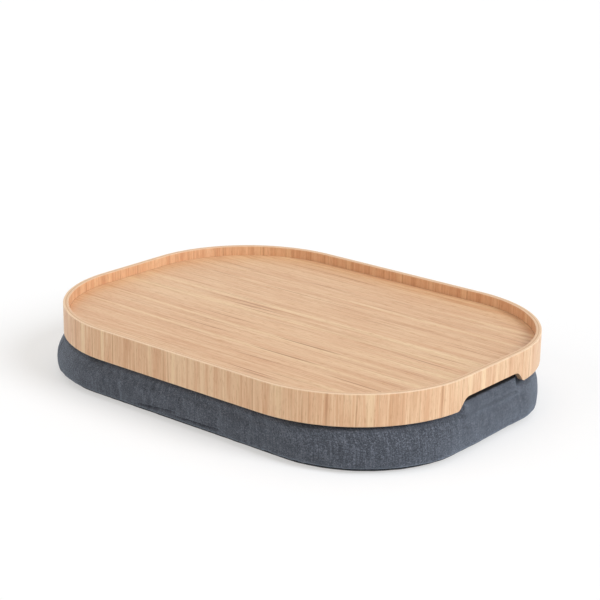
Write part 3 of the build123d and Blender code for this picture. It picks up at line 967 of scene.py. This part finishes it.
def cut_window(mesh):
    """Cut the zip's window out of the side band, with a lip turned in round it."""
    work = bmesh.new()
    work.from_mesh(mesh)
    work.verts.ensure_lookup_table()
    layout = work.loops.layers.uv.verify()
    crease = work.edges.layers.float.get("crease_edge") or work.edges.layers.float.new("crease_edge")
    low_row = row_at(WINDOW_LOW)
    rows = range(low_row, row_at(WINDOW_HIGH) + 1)
    inside = []
    for column, (_, share_y, _) in enumerate(COLUMNS):
        far_x = abs(work.verts[low_row * AROUND + column].co.x)
        if share_y == 1 and far_x < WINDOW_HALF + WINDOW_TOLERANCE:
            inside.append(column)
    for row in rows:
        for column in inside:
            vert = work.verts[row * AROUND + column]
            vert.co.y = ZIP_FACE
            vert.co.z = SIDE_LEVELS[row][0]
        work.verts[row * AROUND + inside[0]].co.x = WINDOW_HALF
        work.verts[row * AROUND + inside[-1]].co.x = -WINDOW_HALF
    hole = {
        face for face in work.faces
        if all(vert.index // AROUND in rows and vert.index % AROUND in inside for vert in face.verts)
    }
    edges = {edge for face in hole for edge in face.edges if sum(f in hole for f in edge.link_faces) == 1}
    bmesh.ops.delete(work, geom=list(hole), context="FACES")
    lip = bmesh.ops.extrude_edge_only(work, edges=list(edges))
    for item in lip["geom"]:
        if isinstance(item, bmesh.types.BMVert):
            item.co.y -= LIP_DEPTH
        elif isinstance(item, bmesh.types.BMFace):
            for loop in item.loops:
                loop[layout].uv = (loop.vert.co.x, loop.vert.co.z + loop.vert.co.y)
    for edge in edges:
        if edge.is_valid:
            edge[crease] = LIP_CREASE
    work.to_mesh(mesh)
    work.free()
    mesh.shade_smooth()


def build_side():
    """The side band, from the base seam to the top seam, with the zip's window in its back."""
    side = grid_mesh("cushion_side_band", side_rings(), rise_of(SIDE_LEVELS))
    fill_out(side)
    cut_window(side.data)
    return relief(subdivided(side))


def build_base():
    """The base panel, turned up to its seam just above the floor."""
    rings = [level(*item) for item in BASE_LEVELS]
    base = grid_mesh("cushion_base_panel", rings, rise_of(BASE_LEVELS), BASE_SCALES, lambda place: 0.0)
    for index, vert in enumerate(base.data.vertices[:AROUND * HEM_ROWS]):
        column = index % AROUND
        turn = COLUMNS[column][2]
        vert.co += Vector((cos(turn), sin(turn), 0)) * waves(RUNS[column], vert.co.z, *HEM)
    return base


def strip_gap(place):
    """0 on a loop strip, rising to 1 away from it."""
    dx = max(abs(abs(place.x) - STRIP_X) - STRIP_HALF_LENGTH, 0.0)
    dy = max(abs(abs(place.y) - STRIP_Y) - STRIP_HALF_WIDTH, 0.0)
    return smooth(hypot(dx, dy), *STRIP_PULL)


def build_top():
    """The top panel: pillowed up against the deck, held down under the loop strips."""
    def height(place):
        rise = (TOP_PANEL_PUFF + waves(place.x, place.y, *CRUMPLE)) * strip_gap(place)
        return min(TOP_PANEL_HEIGHT + rise, TOP_PANEL_LIMIT)

    rings = [level(*item) for item in TOP_LEVELS]
    scales = [1 - step / TOP_PANEL_RINGS for step in range(1, TOP_PANEL_RINGS)]
    return grid_mesh("cushion_top_panel", rings, rise_of(TOP_LEVELS), scales, height)


def build_inner(name, inset, lower):
    """A closed bag inside the cover, with a pocket behind the zip."""
    levels = [(lower + rise, draw, 0.0) for rise, draw in BAG_FOOT]
    for height, draw, share in SIDE_LEVELS:
        if BAG_ROWS[0] < height < BAG_ROWS[1]:
            levels.append((max(height, lower), draw, share))
    top = TOP_SEAM - inset
    rings = []
    for height, draw, share in levels:
        ring = level(min(height, top), draw, share, inset)
        for point in ring:
            if point.y > ON_LONG_SIDE:
                into = 1 - smooth(abs(point.x) - WINDOW_HALF, *POCKET_SIDES)
                room = POCKET_DEPTH - min(inset, POCKET_LEAST_ROOM)
                point.y -= into * plateau(point.z, *POCKET_HEIGHTS) * room
            point.z -= slit_fall(point)
        rings.append(ring)
    bag = grid_mesh(name, rings, rise_of(levels), BAG_TOP_SCALES, lambda place: top, underside=True)
    bag.data.polygons[-1].use_smooth = False
    return bag


def stitches(name, paths, length, thickness, sink):
    """Rows of thread stitches; each path is (start, end, outward normal)."""
    mesh = bpy.data.meshes.new(name)
    work = bmesh.new()
    for start, end, normal in paths:
        line = end - start
        number = max(int(line.length / STITCH_PITCH), 1)
        along = line.normalized()
        across = normal.cross(along)
        spokes = [across * cos(turn) + normal * sin(turn) for turn in STITCH_TURNS]
        for step in range(number):
            centre = start + line * ((step + 0.5) / number)
            rings = []
            for place, size in STITCH_PROFILE:
                rise = (0.25 - place * place) * 2 - sink
                middle = centre + along * (place * length) + normal * (thickness * rise)
                reach = thickness / 2 * size
                rings.append([work.verts.new(middle + spoke * reach) for spoke in spokes])
            for ring, after in zip(rings, rings[1:]):
                for corner in range(STITCH_CORNERS):
                    turned = (corner + 1) % STITCH_CORNERS
                    work.faces.new((ring[corner], ring[turned], after[turned], after[corner]))
            work.faces.new(list(reversed(rings[0])))
            work.faces.new(rings[-1])
    bmesh.ops.recalc_face_normals(work, faces=work.faces)
    work.to_mesh(mesh)
    work.free()
    mesh.shade_smooth()
    return added(name, mesh)


def rectangle(half_x, half_y, normal, corner):
    """The four sides of a rectangle as stitch paths, drawn by a function from (x, y) to a point."""
    ends = [(-half_x, -half_y), (half_x, -half_y), (half_x, half_y), (-half_x, half_y)]
    return [(corner(*start), corner(*end), normal) for start, end in zip(ends, ends[1:] + ends[:1])]


def build_zip_stitching():
    """Stitches round the zip's window."""
    middle = (WINDOW_LOW + WINDOW_HIGH) / 2
    paths = rectangle(
        WINDOW_HALF + ZIP_STITCH_MARGIN,
        WINDOW_HIGH - middle + ZIP_STITCH_MARGIN,
        Vector((0, 1, 0)),
        lambda x, z: Vector((x, ZIP_FACE + ZIP_STITCH_RISE, middle + z)),
    )
    return stitches("zip_stitching", paths, length=0.0027, thickness=0.0005, sink=0.2)


def build_loop_stitching():
    """Stitches round each loop strip."""
    paths = []
    for side_x in (-1, 1):
        for side_y in (-1, 1):
            middle = Vector((side_x * STRIP_X, side_y * STRIP_Y, LOOP_TOP))
            paths += rectangle(
                STRIP_HALF_LENGTH - LOOP_STITCH_MARGIN,
                STRIP_HALF_WIDTH - LOOP_STITCH_MARGIN,
                Vector((0, 0, 1)),
                lambda x, y, middle=middle: middle + Vector((x, y, 0)),
            )
    return stitches("loop_stitching", paths, length=0.0026, thickness=0.00035, sink=0.45)


def dress(piece, material, body):
    piece.data.materials.clear()
    piece.data.materials.append(material)
    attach(piece, body)
    return piece


def paint_grip_gap_shade(piece, painted_gap_shade):
    """Give the faces in the hollows behind the hand grips the cover with painted shade and without sheen."""
    piece.data.materials.append(painted_gap_shade)
    for polygon in piece.data.polygons:
        x, y, z = polygon.center
        across = GAP_SHADE_INNER_X < abs(x) < GAP_SHADE_OUTER_X + GAP_SHADE_LAP
        if across and abs(y) < GAP_SHADE_HALF_WIDTH and z > GAP_SHADE_LOW:
            polygon.material_index = 1


# Tray, strips and zip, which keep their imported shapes
carried = (
    (rim_face_material(), ("rim_outer_veneer", "rim_inner_veneer_upper", "rim_inner_veneer_lower")),
    (rim_ply_material(), ("rim_core",)),
    (deck_face_material(), ("deck_top_veneer", "deck_bottom_veneer")),
    (deck_ply_material(), ("deck_core",)),
    (hook_material(), ("hook_strips",)),
    (loop_material(), ("loop_strips",)),
    (tape_material(), ("zip_tape_upper", "zip_tape_lower")),
    (teeth_material(), ("zip_teeth_upper", "zip_teeth_lower")),
    (metal_material(), ("zip_end_stops", "zip_slider", "zip_pull")),
)
for material, node_names in carried:
    for node_name in node_names:
        for material_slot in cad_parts[node_name].material_slots:
            material_slot.material = material

# Cushion
cover = cover_material("cover_heather", sheen=0.5)
# The cover again, without sheen, carrying the painted shade in the grip hollows
painted_gap_shade = cover_material("cover_painted_gap_shade", sheen=0.0)
base_cloth = base_material()
thread = thread_material()
side_band = dress(build_side(), cover, "cushion")
paint_grip_gap_shade(side_band, painted_gap_shade)
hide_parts("cover_side_band")
base_panel = dress(build_base(), base_cloth, "cushion")
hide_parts("cover_base_panel")
top_panel = dress(build_top(), cover, "cushion")
paint_grip_gap_shade(top_panel, painted_gap_shade)
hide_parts("cover_top_panel")
liner_bag = build_inner("cushion_liner", inset=0.0022, lower=0.0012)
liner = dress(liner_bag, liner_material(), "cushion")
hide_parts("liner_bag")
bead_bag = build_inner("cushion_beads", inset=0.0032, lower=0.0022)
beads = dress(bead_bag, bead_material(), "cushion")
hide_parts("bead_fill")
dress(build_zip_stitching(), thread, "cushion")
dress(build_loop_stitching(), thread, "cushion")


# Floor and world: white for the camera, and the floor keeps the object's shadow
def camera_sees(tree):
    """1 for camera, glossy and transmission rays, 0 for the rays that light the object."""
    path = tree.nodes.new("ShaderNodeLightPath")
    seen = path.outputs["Is Camera Ray"]
    for name in ("Is Glossy Ray", "Is Transmission Ray"):
        either = tree.nodes.new("ShaderNodeMath")
        either.operation = "MAXIMUM"
        tree.links.new(seen, either.inputs[0])
        tree.links.new(path.outputs[name], either.inputs[1])
        seen = either.outputs[0]
    return seen


def floor_material():
    """Pale grey for the light that it throws back, lifted to white where it is seen."""
    g = Graph("floor_white", 0.9)
    g.shader.inputs["Specular IOR Level"].default_value = 0.0
    seen = camera_sees(g.tree)
    g.put(g.shader.inputs["Base Color"], g.mix(seen, (0.70, 0.70, 0.70, 1), (0.53, 0.53, 0.53, 1)))
    glow = g.node("ShaderNodeEmission")
    g.put(glow.inputs["Color"], (1.0, 0.985, 0.965, 1))
    g.put(glow.inputs["Strength"], g.math("MULTIPLY", seen, FLOOR_GLOW))
    both = g.node("ShaderNodeAddShader")
    g.put(both.inputs[0], g.shader.outputs[0])
    g.put(both.inputs[1], glow.outputs[0])
    g.put(g.tree.nodes["Material Output"].inputs["Surface"], both.outputs[0])
    return g.material


bpy.ops.mesh.primitive_plane_add(size=FLOOR_SIZE, location=(0, 0, -FLOOR_DROP))
floor = bpy.context.object
floor.name = "floor"
floor.data.materials.append(floor_material())

world = bpy.data.worlds.new("studio")
bpy.context.scene.world = world
world.use_nodes = True
background = world.node_tree.nodes["Background"]
background.inputs["Color"].default_value = (1, 1, 1, 1)
world_strength = world.node_tree.nodes.new("ShaderNodeMapRange")
world.node_tree.links.new(camera_sees(world.node_tree), world_strength.inputs["Value"])
world_strength.inputs["To Min"].default_value = WORLD_LIGHT
world_strength.inputs["To Max"].default_value = 1.0
world.node_tree.links.new(world_strength.outputs[0], background.inputs["Strength"])

# Lamps: broad and soft, each from one direction
for lamp_name, toward, strength, softness, lamp_colour in LAMPS:
    lamp = bpy.data.lights.new(lamp_name, "SUN")
    lamp.energy = strength
    lamp.angle = radians(softness)
    lamp.color = lamp_colour
    added(lamp_name, lamp).rotation_euler = Vector(toward).to_track_quat("Z", "Y").to_euler()

# Camera
level_right = Vector((cos(CAMERA_AZIMUTH), sin(CAMERA_AZIMUTH), 0))
away = Vector((
    sin(CAMERA_AZIMUTH) * cos(CAMERA_ELEVATION),
    -cos(CAMERA_AZIMUTH) * cos(CAMERA_ELEVATION),
    sin(CAMERA_ELEVATION),
))
level_up = away.cross(level_right)
pivot = Vector((0, 0, RIM_BOTTOM))
eye = pivot + away * CAMERA_DISTANCE
aim = pivot + level_right * AIM_RIGHT + level_up * AIM_UP
back_axis = (eye - aim).normalized()
right_axis = Vector((0, 0, 1)).cross(back_axis).normalized()
up_axis = back_axis.cross(right_axis)
turned_right = right_axis * cos(CAMERA_ROLL) - up_axis * sin(CAMERA_ROLL)
turned_up = right_axis * sin(CAMERA_ROLL) + up_axis * cos(CAMERA_ROLL)
camera_data = bpy.data.cameras.new("camera")
camera_data.sensor_width = SENSOR_WIDTH
camera_data.lens = CAMERA_LENS
camera = added("camera", camera_data)
pose = Matrix((turned_right, turned_up, back_axis)).transposed().to_4x4()
pose.translation = eye
camera.matrix_world = pose
bpy.context.scene.camera = camera
bpy.context.scene.view_settings.view_transform = "Standard"
